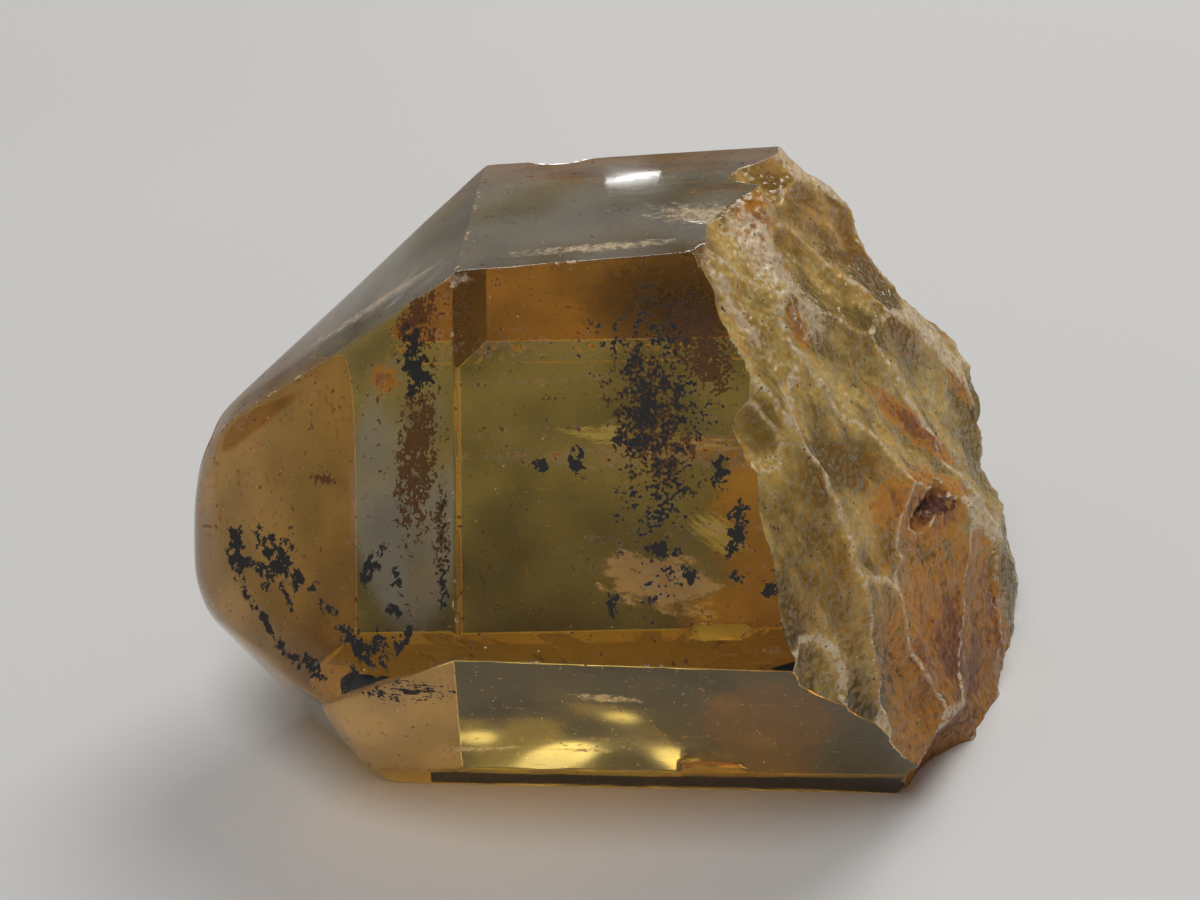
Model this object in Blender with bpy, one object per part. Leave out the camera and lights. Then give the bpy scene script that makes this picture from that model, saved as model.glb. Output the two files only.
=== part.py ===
"""Citrine crystal point: one stubby quartz crystal lying on a prism face.

The crystal's long axis runs along X. Its worn tip points to -X, and the rough
break where it left its matrix faces +X. It grew as one piece, so it is one
solid: a block cut by its flat faces, worn round at the tip, broken at the
base by shallow shell-like hollows, and chipped in a few places.

Lengths are in millimetres and angles in degrees until an object is placed.
"""
import math

import bmesh
import bpy
import numpy as np
from mathutils import Matrix, Vector

MM = 0.001
SNAP = 0.001
BLOCK_SIZE = 120.0

# Where the crystal's axis lies: the middle of the bounding box is the origin,
# and the face that it rests on is the ground.
STATION_X = -9.98
AXIS_Y = -1.25
AXIS_HEIGHT = 16.15

# Each growth face: the way it faces around the axis (30 is the upper front,
# 90 the top), its lean towards the tip, and its distance from the station,
# which is the point of the axis under the upper front corner.
GROWTH_FACES = {
    "front_upper": (30.0, 1.9, 12.70),
    "top": (90.0, 4.0, 16.15),
    "back_upper": (150.0, 0.0, 16.10),
    "back_lower": (210.0, 0.0, 16.80),
    "bottom": (270.0, 0.0, AXIS_HEIGHT),
    "front_lower": (330.0, 3.6, 14.15),
    "tip_front_upper": (30.5, 38.5, 10.00),
    "tip_top": (94.3, 38.9, 12.10),
    "tip_back_upper": (150.0, 37.8, 11.60),
    "tip_back_lower": (209.6, 38.0, 13.20),
    "tip_bottom": (269.6, 38.6, 15.50),
    "tip_front_lower": (318.9, 44.2, 15.20),
}

# Edges and corners worn round at the tip: the faces that meet and the radius.
WORN_EDGES = [
    ("tip_front_upper", "tip_back_lower", 4.6),
    ("tip_front_upper", "tip_top", 0.5),
    ("tip_top", "tip_back_lower", 3.0),
    ("tip_front_upper", "tip_front_lower", 1.0),
    ("tip_back_lower", "tip_front_lower", 3.2),
    ("tip_back_lower", "tip_bottom", 2.0),
    ("tip_front_lower", "tip_bottom", 1.6),
    ("tip_front_lower", "front_lower", 1.0),
]
WORN_CORNERS = [
    ("tip_front_upper", "tip_top", "tip_back_lower", 5.4),
    ("tip_front_upper", "tip_front_lower", "tip_back_lower", 4.6),
    ("tip_front_lower", "tip_back_lower", "tip_bottom", 3.2),
]
WEAR_STEPS = 4
CORNER_BLENDS = [(1.0, 1.0, 1.0), (2.0, 1.0, 1.0), (1.0, 2.0, 1.0), (1.0, 1.0, 2.0)]

# The break: a domed slope, cut into by shells.
BREAK_REACH = 27.9
BREAK_SLOPE_Y = 0.447
BREAK_SLOPE_Z = -0.490
BREAK_DOME = 0.0135
RIDGE_HEIGHT = 0.45
BREAK_CELL = 0.65
BREAK_HALF = 22.1
CUTTER_REACH = 75.0

# Each shell of the break: centre y and z from the axis, half length and half
# width, the turn of its length away from Z, and its depth.
SHELLS = [
    (-12.6, 4.2, 11.0, 3.9, 13.0, 1.5),
    (-10.5, 8.3, 2.4, 1.5, 20.0, 2.1),
    (-6.0, 12.4, 5.5, 2.6, 24.0, 0.7),
    (-6.6, 3.4, 8.5, 3.4, 9.0, 1.0),
    (-0.8, 6.0, 8.0, 3.4, -24.0, 1.0),
    (1.8, 12.2, 4.0, 3.2, -20.0, 1.3),
    (6.2, 12.4, 5.5, 3.2, -55.0, 0.9),
    (-1.2, 16.6, 3.6, 2.4, 60.0, 1.2),
    (5.0, 17.4, 2.4, 2.0, 0.0, 1.9),
    (-4.7, -4.6, 6.0, 4.2, 12.0, 1.2),
    (-9.6, -5.6, 6.5, 2.6, 10.0, 0.9),
    (-14.6, -2.6, 3.6, 2.4, 30.0, 1.2),
    (-8.2, -16.2, 4.4, 4.0, 50.0, 2.2),
    (-1.2, -10.6, 6.0, 3.4, 20.0, 0.9),
    (5.4, 1.0, 8.0, 3.6, -28.0, 0.9),
    (14.4, 6.0, 7.0, 4.2, -34.0, 1.7),
    (13.0, -5.8, 6.0, 4.0, 10.0, 1.5),
    (5.6, -12.6, 4.6, 3.4, 30.0, 0.5),
]
PITS = [
    (-2.3, -0.6, 2.4, 1.2, 70.0, 1.5),
    (3.2, -9.0, 2.2, 1.2, 10.0, 1.2),
]

# Chips knocked out of edges: centre from the station, half sizes along,
# across and out of the face, and the way around the axis that they face.
CHIPS = {
    "chip_corner": ((0.3, -5.7, 17.25), (1.9, 0.8, 0.5), 60.0),
    "chip_flake": ((13.8, 1.6, 17.45), (3.1, 3.4, 0.5), 86.0),
    "chip_edge": ((14.0, -5.2, 16.9), (1.2, 0.8, 0.5), 60.0),
    "chip_back_top": ((6.0, 9.1, 16.7), (1.6, 0.7, 0.5), 120.0),
    "chip_back_low": ((16.0, 10.0, -15.9), (2.2, 0.8, 0.5), 240.0),
}

CITRINE = (0.52, 0.36, 0.11, 1.0)


def facing(around, lean):
    """Unit normal of a face from its way around the axis and its lean to the tip."""
    turn, tip = math.radians(around), math.radians(lean)
    return Vector((-math.sin(tip), -math.cos(turn) * math.cos(tip), math.sin(turn) * math.cos(tip)))


def growth_planes():
    """Normal and distance from the station of every growth face."""
    planes = {}
    for name, (around, lean, distance) in GROWTH_FACES.items():
        planes[name] = (facing(around, lean), distance)
    return planes


def tangent_plane(faces, weights, radius):
    """Plane that touches the round of this radius between the given faces."""
    blend = Vector((0.0, 0.0, 0.0))
    for (normal, _), weight in zip(faces, weights):
        blend += normal * weight
    scale = 1.0 / blend.length
    distance = radius * (1.0 - scale * sum(weights))
    distance += scale * sum(weight * reach for (_, reach), weight in zip(faces, weights))
    return blend * scale, distance


def wear_planes(planes):
    """Planes that take the sharp edges and corners off the tip."""
    cuts = []
    for first, second, radius in WORN_EDGES:
        for step in range(1, WEAR_STEPS):
            share = step / WEAR_STEPS
            cuts.append(tangent_plane((planes[first], planes[second]), (1.0 - share, share), radius))
    for first, second, third, radius in WORN_CORNERS:
        faces = (planes[first], planes[second], planes[third])
        for weights in CORNER_BLENDS:
            cuts.append(tangent_plane(faces, weights, radius))
    return cuts


def cut_flat(mesh, normal, distance):
    """Cut the block by one plane and close the cut."""
    everything = list(mesh.verts) + list(mesh.edges) + list(mesh.faces)
    cut = bmesh.ops.bisect_plane(
        mesh,
        geom=everything,
        plane_co=normal * distance,
        plane_no=normal,
        dist=SNAP,
        clear_outer=True,
    )
    rim = [part for part in cut["geom_cut"] if isinstance(part, bmesh.types.BMEdge)]
    if rim:
        bmesh.ops.edgenet_fill(mesh, edges=rim)


def break_surface(y, z):
    """How far the break reaches along X at each y and z from the axis.

    A slope with a slight dome, less the deepest shell or pit there. A shell is
    a paraboloid bowl, and where two bowls meet the surface keeps a sharp ridge.
    """
    reach = BREAK_REACH + BREAK_SLOPE_Y * y + BREAK_SLOPE_Z * z - BREAK_DOME * (y * y + z * z)
    depth = np.full_like(y, -RIDGE_HEIGHT)
    for centre_y, centre_z, long, wide, turn, deep in SHELLS + PITS:
        angle = math.radians(turn)
        along = (z - centre_z) * math.cos(angle) + (y - centre_y) * math.sin(angle)
        across = (y - centre_y) * math.cos(angle) - (z - centre_z) * math.sin(angle)
        bowl = deep * (1.0 - (along / long) ** 2 - (across / wide) ** 2)
        depth = np.maximum(depth, bowl)
    return reach - depth


def make_object(name, mesh, collection):
    """Turn a finished bmesh in millimetres around the station into a placed object."""
    mesh.transform(Matrix.Translation((STATION_X, AXIS_Y, AXIS_HEIGHT)))
    mesh.transform(Matrix.Scale(MM, 4))
    bmesh.ops.recalc_face_normals(mesh, faces=mesh.faces)
    data = bpy.data.meshes.new(name)
    mesh.to_mesh(data)
    mesh.free()
    piece = bpy.data.objects.new(name, data)
    collection.objects.link(piece)
    return piece


def make_crystal(collection):
    """The flat-faced crystal, before it is broken and chipped."""
    block = bmesh.new()
    bmesh.ops.create_cube(block, size=BLOCK_SIZE)
    planes = growth_planes()
    for normal, distance in list(planes.values()) + wear_planes(planes):
        cut_flat(block, normal, distance)
    crystal = make_object("crystal", block, collection)
    crystal.data.materials.append(citrine_material())
    return crystal


def make_break_cutter(collection):
    """Everything beyond the break: a grid bent to its surface and drawn out along X."""
    cutter = bmesh.new()
    cells = round(2 * BREAK_HALF / BREAK_CELL)
    bmesh.ops.create_grid(cutter, x_segments=cells, y_segments=cells, size=BREAK_HALF)
    flat = np.array([vert.co for vert in cutter.verts])
    reach = break_surface(flat[:, 0], flat[:, 1])
    for vert, x in zip(cutter.verts, reach):
        vert.co = Vector((x, vert.co.x, vert.co.y))
    drawn = bmesh.ops.extrude_face_region(cutter, geom=list(cutter.faces))
    far = [part for part in drawn["geom"] if isinstance(part, bmesh.types.BMVert)]
    for vert in far:
        vert.co.x = CUTTER_REACH
    return make_object("break_cutter", cutter, collection)


def make_chip_cutter(name, centre, half_sizes, around, collection):
    """A flattened ball that scoops one chip out of an edge or a face."""
    cutter = bmesh.new()
    bmesh.ops.create_icosphere(cutter, subdivisions=3, radius=1.0)
    along, across, out = half_sizes
    cutter.transform(Matrix.Diagonal((along, across, out, 1.0)))
    cutter.transform(Matrix.Rotation(math.radians(90.0 - around), 4, "X"))
    cutter.transform(Matrix.Translation(centre))
    return make_object(name, cutter, collection)


def subtract(body, cutter):
    """Take a cutter away from the crystal, exactly."""
    cutter.hide_render = True
    cutter.display_type = "WIRE"
    cut = body.modifiers.new(cutter.name, "BOOLEAN")
    cut.operation = "DIFFERENCE"
    cut.solver = "EXACT"
    cut.object = cutter


def citrine_material():
    """Clear smoky-yellow quartz."""
    material = bpy.data.materials.new("citrine")
    material.use_nodes = True
    shader = material.node_tree.nodes["Principled BSDF"]
    shader.inputs["Base Color"].default_value = CITRINE
    shader.inputs["Roughness"].default_value = 0.12
    shader.inputs["Metallic"].default_value = 0.0
    shader.inputs["IOR"].default_value = 1.544
    shader.inputs["Transmission Weight"].default_value = 0.7
    return material


def main():
    """Clear the file and build the crystal."""
    for old in list(bpy.data.objects):
        bpy.data.objects.remove(old, do_unlink=True)
    parts = bpy.data.collections.new("citrine_crystal_point")
    cutters = bpy.data.collections.new("cutters")
    bpy.context.scene.collection.children.link(parts)
    bpy.context.scene.collection.children.link(cutters)

    crystal = make_crystal(parts)
    subtract(crystal, make_break_cutter(cutters))
    for name, (centre, half_sizes, around) in CHIPS.items():
        subtract(crystal, make_chip_cutter(name, centre, half_sizes, around, cutters))


main()
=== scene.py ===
"""Looks of a citrine crystal point: one see-through crystal, its marks and veils, and a plain stage.

Lengths inside the crystal are in millimetres from its station, the point of the
long axis under the upper front corner, until a mesh is placed in metres.
"""

import itertools
import math

import bpy
import numpy as np
from bpy.props import FloatProperty, FloatVectorProperty, PointerProperty
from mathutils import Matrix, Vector


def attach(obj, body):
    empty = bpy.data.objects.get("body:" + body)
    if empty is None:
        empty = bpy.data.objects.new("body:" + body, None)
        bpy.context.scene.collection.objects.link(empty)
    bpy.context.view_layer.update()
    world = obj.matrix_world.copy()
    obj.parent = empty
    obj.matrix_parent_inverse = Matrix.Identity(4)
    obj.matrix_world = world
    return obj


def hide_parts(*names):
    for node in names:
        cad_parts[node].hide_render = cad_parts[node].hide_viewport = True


bl_info = {
    "name": "Citrine crystal point",
    "version": (1, 0, 0),
    "blender": (4, 5, 0),
    "location": "3D View > Sidebar > Citrine",
    "description": "Builds a clear citrine crystal point with its marks, veils and stage",
    "category": "Object",
}

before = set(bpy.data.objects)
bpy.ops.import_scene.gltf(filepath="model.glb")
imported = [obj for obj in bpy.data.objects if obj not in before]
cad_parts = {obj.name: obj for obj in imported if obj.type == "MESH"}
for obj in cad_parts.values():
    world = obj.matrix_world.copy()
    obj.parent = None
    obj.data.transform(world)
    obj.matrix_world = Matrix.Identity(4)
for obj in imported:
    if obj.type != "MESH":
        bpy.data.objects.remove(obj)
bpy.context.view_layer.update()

MM = 0.001
STATION = np.array((-9.98, -1.25, 16.15))
HEART = np.array((8.0, 0.0, 0.0))
QUARTZ_IOR = 1.544
# How far a field reaches from a ridge or an edge, and a mark from its face.
FADE = 0.12
ON_FACE = 0.06
HALVINGS = 44
# A plane past the break that closes the growth faces while their corners are found.
FAR_CAP = 60.0
# Shift of the fibres from one bowl of the break to the next.
BOWL_SHIFT = 7.0

# Growth faces: the way each faces around the axis, its lean to the tip, and
# its distance from the station.
FACES = {
    "front_upper": (30.0, 1.9, 12.70),
    "top": (90.0, 4.0, 16.15),
    "back_upper": (150.0, 0.0, 16.10),
    "back_lower": (210.0, 0.0, 16.80),
    "bottom": (270.0, 0.0, 16.15),
    "front_lower": (330.0, 3.6, 14.15),
    "tip_front_upper": (30.5, 38.5, 10.00),
    "tip_top": (94.3, 38.9, 12.10),
    "tip_back_upper": (150.0, 37.8, 11.60),
    "tip_back_lower": (209.6, 38.0, 13.20),
    "tip_bottom": (269.6, 38.6, 15.50),
    "tip_front_lower": (318.9, 44.2, 15.20),
}

# Rings of points from the rim of a face to its middle.
PLAIN_RINGS = 8
RINGS = {
    "front_upper": 34,
    "top": 30,
    "front_lower": 27,
    "tip_front_upper": 29,
    "tip_top": 15,
    "tip_front_lower": 15,
}
RIM_RINGS = (0.0, 0.0025, 0.005, 0.01, 0.018)

# Edges and corners of the tip that are worn round: faces and radius.
WORN_EDGES = (
    ("tip_front_upper", "tip_back_lower", 4.6),
    ("tip_front_upper", "tip_top", 0.5),
    ("tip_top", "tip_back_lower", 3.0),
    ("tip_front_upper", "tip_front_lower", 1.0),
    ("tip_back_lower", "tip_front_lower", 3.2),
    ("tip_back_lower", "tip_bottom", 2.0),
    ("tip_front_lower", "tip_bottom", 1.6),
    ("tip_front_lower", "front_lower", 1.0),
)
WORN_CORNERS = (
    ("tip_front_upper", "tip_top", "tip_back_lower", 5.4),
    ("tip_front_upper", "tip_front_lower", "tip_back_lower", 4.6),
    ("tip_front_lower", "tip_back_lower", "tip_bottom", 3.2),
)
WEAR_STEPS = 20

# The break: a domed slope less shells and pits, each with its centre y and z,
# half length, half width, turn from upright and depth.
BREAK_REACH = 27.9
BREAK_SLOPE = (0.447, -0.490)
BREAK_DOME = 0.0135
RIDGE_HEIGHT = 0.45
BREAK_CENTRE = (0.5, -0.5)
BREAK_RINGS = 84
SHELLS = (
    (-12.6, 4.2, 11.0, 3.9, 13.0, 1.5),
    (-10.5, 8.3, 2.4, 1.5, 20.0, 2.1),
    (-6.0, 12.4, 5.5, 2.6, 24.0, 0.7),
    (-6.6, 3.4, 8.5, 3.4, 9.0, 1.0),
    (-0.8, 6.0, 8.0, 3.4, -24.0, 1.0),
    (1.8, 12.2, 4.0, 3.2, -20.0, 1.3),
    (6.2, 12.4, 5.5, 3.2, -55.0, 0.9),
    (-1.2, 16.6, 3.6, 2.4, 60.0, 1.2),
    (5.0, 17.4, 2.4, 2.0, 0.0, 1.9),
    (-4.7, -4.6, 6.0, 4.2, 12.0, 1.2),
    (-9.6, -5.6, 6.5, 2.6, 10.0, 0.9),
    (-14.6, -2.6, 3.6, 2.4, 30.0, 1.2),
    (-8.2, -16.2, 4.4, 4.0, 50.0, 2.2),
    (-1.2, -10.6, 6.0, 3.4, 20.0, 0.9),
    (5.4, 1.0, 8.0, 3.6, -28.0, 0.9),
    (14.4, 6.0, 7.0, 4.2, -34.0, 1.7),
    (13.0, -5.8, 6.0, 4.0, 10.0, 1.5),
    (5.6, -12.6, 4.6, 3.4, 30.0, 0.5),
)
PITS = (
    (-2.3, -0.6, 2.4, 1.2, 70.0, 1.5),
    (3.2, -9.0, 2.2, 1.2, 10.0, 1.2),
)

# Chips out of edges: centre, half sizes along, across and out, and the way
# around the axis that they face.
CHIPS = (
    ((0.3, -5.7, 17.25), (1.9, 0.8, 0.5), 60.0),
    ((13.8, 1.6, 17.45), (3.1, 3.4, 0.5), 86.0),
    ((14.0, -5.2, 16.9), (1.2, 0.8, 0.5), 60.0),
    ((6.0, 9.1, 16.7), (1.6, 0.7, 0.5), 120.0),
    ((16.0, 10.0, -15.9), (2.2, 0.8, 0.5), 240.0),
)

# Marks on a face: place along and up the face from the foot of the station,
# half length, half width, and turn from the long axis. On the break the place
# is z and then y, and the turn is from upright.
OXIDE = {
    "tip_front_upper": (
        (-8.5, -3.5, 1.7, 0.68, -85),
        (-4.9, -3.9, 2.1, 0.86, -42),
        (-5.1, -3.8, 1.8, 0.66, 57),
        (-7.1, -4.2, 1.7, 0.4, -15),
        (-7.9, -5.8, 1.0, 0.3, -66),
        (-6.2, -7.5, 1.4, 0.3, -55),
        (-4.8, -9.0, 1.3, 0.33, -40),
        (-2.9, -9.8, 1.4, 0.52, -29),
        (-2.5, -5.3, 0.8, 0.29, 6),
        (-4.5, -6.0, 0.8, 0.26, -63),
        (-1.3, -6.6, 0.9, 0.29, -19),
        (2.0, -4.3, 1.6, 0.5, 50),
        (3.9, -5.1, 1.0, 0.28, -77),
        (3.6, -6.6, 0.8, 0.37, -6),
        (1.3, -8.6, 1.9, 0.56, -28),
        (2.0, -8.6, 1.5, 0.44, 41),
        (4.1, -8.2, 1.2, 0.37, 47),
        (0.1, -10.5, 0.9, 0.32, 46),
        (5.3, 6.7, 2.0, 0.8, -85),
        (5.6, 5.9, 1.6, 0.37, -20),
    ),
    "front_upper": (
        (6.9, 1.3, 0.8, 0.4, -91),
        (4.9, 1.0, 0.5, 0.3, -70),
        (14.3, 0.6, 0.8, 0.5, -91),
        (15.2, -2.5, 1.5, 0.42, -97),
        (15.0, -4.6, 0.7, 0.3, -80),
        (11.2, -3.5, 0.8, 0.42, -10),
        (12.7, -4.8, 0.6, 0.37, -80),
        (8.6, -6.3, 0.6, 0.37, -91),
        (16.9, -5.6, 0.7, 0.37, -1),
    ),
    "front_lower": (
        (-4.4, 3.0, 1.4, 0.3, 12),
        (-1.4, 2.4, 1.8, 0.35, 4),
    ),
}
FILM = {
    "tip_front_upper": (
        (5.4, 1.9, 4.6, 1.4, -98),
        (5.5, 8.7, 2.4, 1.3, -105),
        (-1.5, 0.6, 1.2, 0.3, -10),
        (7.0, -3.0, 3.0, 0.5, -91),
    ),
    "front_upper": (
        (10.9, 3.4, 4.4, 2.0, -80),
        (13.2, 7.2, 3.0, 1.4, -60),
    ),
}
PEPPER = {
    "tip_front_upper": ((7.1, -4.4, 4.4, 0.4, -91),),
    "front_upper": (
        (10.8, 2.5, 8.4, 2.0, -90),
        (11.0, 5.4, 4.2, 1.83, -42),
    ),
    "front_lower": ((-2.5, 2.4, 3.7, 1.42, 2),),
}
RUST = {
    "back_upper": ((12.0, 0.0, 40.0, 40.0, 0),),
    "tip_back_upper": ((0.0, 0.0, 40.0, 40.0, 0),),
}
OCHRE = {
    "tip_front_upper": ((3.1, 5.9, 1.3, 0.6, -3),),
    "break": (
        (-12.0, -3.0, 9.0, 8.0, -50),
        (15.9, 0.8, 1.8, 0.8, 60),
        (11.6, -3.0, 1.3, 0.6, 20),
        (-0.6, -2.2, 4.2, 2.0, -60),
        (-10.4, 3.2, 3.8, 1.5, -25),
        (2.2, 1.6, 4.0, 0.9, -27),
        (-1.0, 11.8, 4.5, 0.8, -40),
    ),
}
HAZE = {"tip_back_lower": ((0.0, 0.0, 40.0, 40.0, 0),)}
# Painted shade: a dark, mottled coat over the whole lower back face darkens the view through the crystal
# in place of a dark room.
PAINTED_SHADE_COAT = {"back_lower": ((12.0, 0.0, 60.0, 60.0, 0),)}
# Partly an iron stain, partly painted glow: a bright pale-yellow patch over the bottom face makes the
# strip seen through the front glow.
STAIN_AND_PAINTED_GLOW = {"bottom": ((12.0, 0.0, 60.0, 60.0, 0),)}
# Painted sheen: a pale grey layer on the top faces stands in for their reflection of the cool room.
PAINTED_SHEEN = {
    "tip_front_upper": ((4.6, -0.5, 4.4, 8.0, 0),),
    "top": ((10.0, 0.0, 40.0, 40.0, 0),),
    "tip_top": ((0.0, 0.0, 40.0, 40.0, 0),),
}
AMBER = {
    "back_lower": (
        (18.0, 8.0, 5.0, 2.0, 0),
        (19.5, 2.5, 4.5, 4.8, 0),
    ),
    "back_upper": ((13.5, 6.0, 6.0, 6.0, 0),),
    "tip_back_upper": ((9.6, 4.0, 2.4, 12.0, 0),),
}
PIT_DARK = {
    "break": (
        (-0.8, -1.8, 1.8, 0.6, -60),
        (-9.2, 3.0, 1.5, 0.6, -10),
    ),
}
FROST = {
    "front_upper": ((0.5, 11.0, 1.1, 0.5, 0),),
    "tip_front_upper": ((7.9, 11.1, 0.9, 0.5, 0),),
    "top": (
        (0.5, -5.4, 1.2, 0.6, 0),
        (15.4, -0.4, 4.0, 1.98, -11),
        (8.8, -3.8, 5.6, 0.58, 0),
    ),
    "tip_top": ((3.6, -1.2, 6.2, 0.57, 160),),
    "front_lower": (
        (8.8, 2.4, 2.3, 0.58, -4),
        (1.7, -5.1, 2.7, 0.41, 10),
        (7.9, -4.7, 1.6, 0.36, -2),
    ),
    "break": (
        (14.0, -5.6, 3.4, 0.7, 14),
        (13.6, -0.6, 4.6, 2.2, 20),
    ),
}

MARKS = {
    "oxide": OXIDE,
    "pepper": PEPPER,
    "film": FILM,
    "rust": RUST,
    "haze": HAZE,
    "smoke": PAINTED_SHADE_COAT,
    "stain": STAIN_AND_PAINTED_GLOW,
    "amber": AMBER,
    "bloom": PAINTED_SHEEN,
    "ochre": OCHRE,
    "dark": PIT_DARK,
    "frost": FROST,
}

# Veils inside the crystal: place along and up the upper front face and depth
# below it, half length, half width, turn, tilt and sag.
VEIL_STEPS = (49, 33)
VEILS = {
    "tan_veil": (11.0, -5.2, 1.8, 4.4, 2.1, -14, -20, 0.4),
    # The two cracks carry painted golden glints.
    "upper_crack": (11.0, 2.3, 1.3, 5.4, 1.6, -4, -32, 0.2),
    "lower_crack": (14.0, -2.8, 1.4, 2.6, 1.3, -38, -32, 0.2),
}

# Colours of small things that go with the main ones.
BARE_FACE = (0.98, 0.97, 0.94)
BURNT_OCHRE = (0.30, 0.085, 0.010)
# Painted sheen: grey standing in for the top faces' reflection of the room.
PAINTED_SHEEN_GREY = (0.50, 0.47, 0.40)
PIT_RED = (0.09, 0.018, 0.005)

# Lights: place, what each looks at, size and colour.
LIGHTS = {
    "key": ((0.25, 0.42, 0.62), (0.0, 0.0, 0.015), (0.5, 0.4), (1.0, 0.98, 0.95)),
    "low": ((0.035, 0.5, 0.034), (0.0, 0.0, 0.02), (0.12, 0.064), (1.0, 0.97, 0.9)),
    "glint": ((-0.001, 0.5, 0.236), (0.0, 0.0, 0.03), (0.017, 0.0022), (1.0, 1.0, 1.0)),
    "fill": ((-0.12, -0.30, 0.75), (0.0, 0.0, 0.015), (0.4, 0.4), (0.95, 0.97, 1.0)),
}
ROOM_COLOUR = (0.97, 0.98, 1.0)
CAMERA_AIM = (-0.00195, -0.0015, 0.01859)
CAMERA_LENS = 66.0
CAMERA_SENSOR = 36.0


class CrystalSizes(bpy.types.PropertyGroup):
    """Sizes of the crystal's surface that can be changed."""

    edge_softness: FloatProperty(
        name="Edge softness",
        description="How far the growth edges are rubbed, in millimetres",
        default=0.022,
        min=0.005,
        max=0.5,
    )
    tip_softness: FloatProperty(
        name="Tip softness",
        description="How far the worn tip's edges are rubbed, in millimetres",
        default=0.12,
        min=0.005,
        max=0.5,
    )
    rim_step: FloatProperty(
        name="Rim step",
        description="Distance between the points along an edge, in millimetres",
        default=0.33,
        min=0.1,
        max=2.0,
    )
    ripple_height: FloatProperty(
        name="Ripple height",
        description="Height of the ribs in the shells of the break, in millimetres",
        default=0.035,
        min=0.0,
        max=0.3,
    )
    strand_height: FloatProperty(
        name="Strand height",
        description="Height of the strands along the shells of the break, in millimetres",
        default=0.09,
        min=0.0,
        max=0.5,
    )
    rubble_height: FloatProperty(
        name="Rubble height",
        description="Height of the uneven ground of the break, in millimetres",
        default=0.36,
        min=0.0,
        max=1.0,
    )


class CitrineColours(bpy.types.PropertyGroup):
    """Colours of the crystal and of what lies on it, with painted shade, glow, sheen and glints among
    them.
    """

    body: FloatVectorProperty(
        name="Body",
        description="Colour that the clear crystal takes on with depth",
        subtype="COLOR",
        size=3,
        min=0.0,
        max=1.0,
        default=(0.82, 0.68, 0.03),
    )
    depth: FloatProperty(
        name="Depth",
        description="How fast the body colour deepens, per metre",
        default=66.0,
        min=0.0,
        max=1000.0,
    )
    oxide: FloatVectorProperty(
        name="Oxide",
        description="Blue-black blots and specks on the faces",
        subtype="COLOR",
        size=3,
        min=0.0,
        max=1.0,
        default=(0.012, 0.010, 0.007),
    )
    film: FloatVectorProperty(
        name="Film",
        description="Thin brown film on the upper front faces",
        subtype="COLOR",
        size=3,
        min=0.0,
        max=1.0,
        default=(0.16, 0.06, 0.01),
    )
    rust: FloatVectorProperty(
        name="Rust",
        description="Iron stain",
        subtype="COLOR",
        size=3,
        min=0.0,
        max=1.0,
        default=(0.70, 0.28, 0.04),
    )
    haze: FloatVectorProperty(
        name="Haze",
        description="Tan haze on the lower back face of the tip",
        subtype="COLOR",
        size=3,
        min=0.0,
        max=1.0,
        default=(0.66, 0.40, 0.16),
    )
    # Painted shade: colour of the dark coat on the lower back face, standing in for a dark room behind
    # the crystal.
    smoke: FloatVectorProperty(
        name="Smoke",
        description="Smoky coat on the lower back face",
        subtype="COLOR",
        size=3,
        min=0.0,
        max=1.0,
        default=(0.135, 0.115, 0.06),
    )
    # Partly iron stain, partly painted glow: bright yellow so that the strip seen through the bottom face
    # glows.
    stain: FloatVectorProperty(
        name="Stain",
        description="Glowing iron stain under the bottom face",
        subtype="COLOR",
        size=3,
        min=0.0,
        max=1.0,
        default=(1.0, 0.86, 0.18),
    )
    amber: FloatVectorProperty(
        name="Amber",
        description="Deeper brown zones of the back faces",
        subtype="COLOR",
        size=3,
        min=0.0,
        max=1.0,
        default=(0.50, 0.18, 0.02),
    )
    ochre: FloatVectorProperty(
        name="Ochre",
        description="Iron stain on the break",
        subtype="COLOR",
        size=3,
        min=0.0,
        max=1.0,
        default=(0.80, 0.32, 0.02),
    )
    milk: FloatVectorProperty(
        name="Milk",
        description="Cloudy quartz of the break",
        subtype="COLOR",
        size=3,
        min=0.0,
        max=1.0,
        default=(0.88, 0.55, 0.13),
    )
    olive: FloatVectorProperty(
        name="Olive",
        description="Darker glassy hollows of the break",
        subtype="COLOR",
        size=3,
        min=0.0,
        max=1.0,
        default=(0.36, 0.22, 0.03),
    )
    # Also the colour of the edge nicks, which are partly painted glints along the edges.
    frost: FloatVectorProperty(
        name="Frost",
        description="Bruised, frosty quartz, nicks, ridges and dust",
        subtype="COLOR",
        size=3,
        min=0.0,
        max=1.0,
        default=(0.92, 0.72, 0.46),
    )
    veil: FloatVectorProperty(
        name="Veil",
        description="Cloudy veil inside the crystal",
        subtype="COLOR",
        size=3,
        min=0.0,
        max=1.0,
        default=(1.0, 0.60, 0.20),
    )
    # Painted glint: golden colour of the two cracks, standing in for light glinting off them.
    glint: FloatVectorProperty(
        name="Glint",
        description="Golden cracks inside the crystal",
        subtype="COLOR",
        size=3,
        min=0.0,
        max=1.0,
        default=(1.0, 0.75, 0.12),
    )


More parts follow.
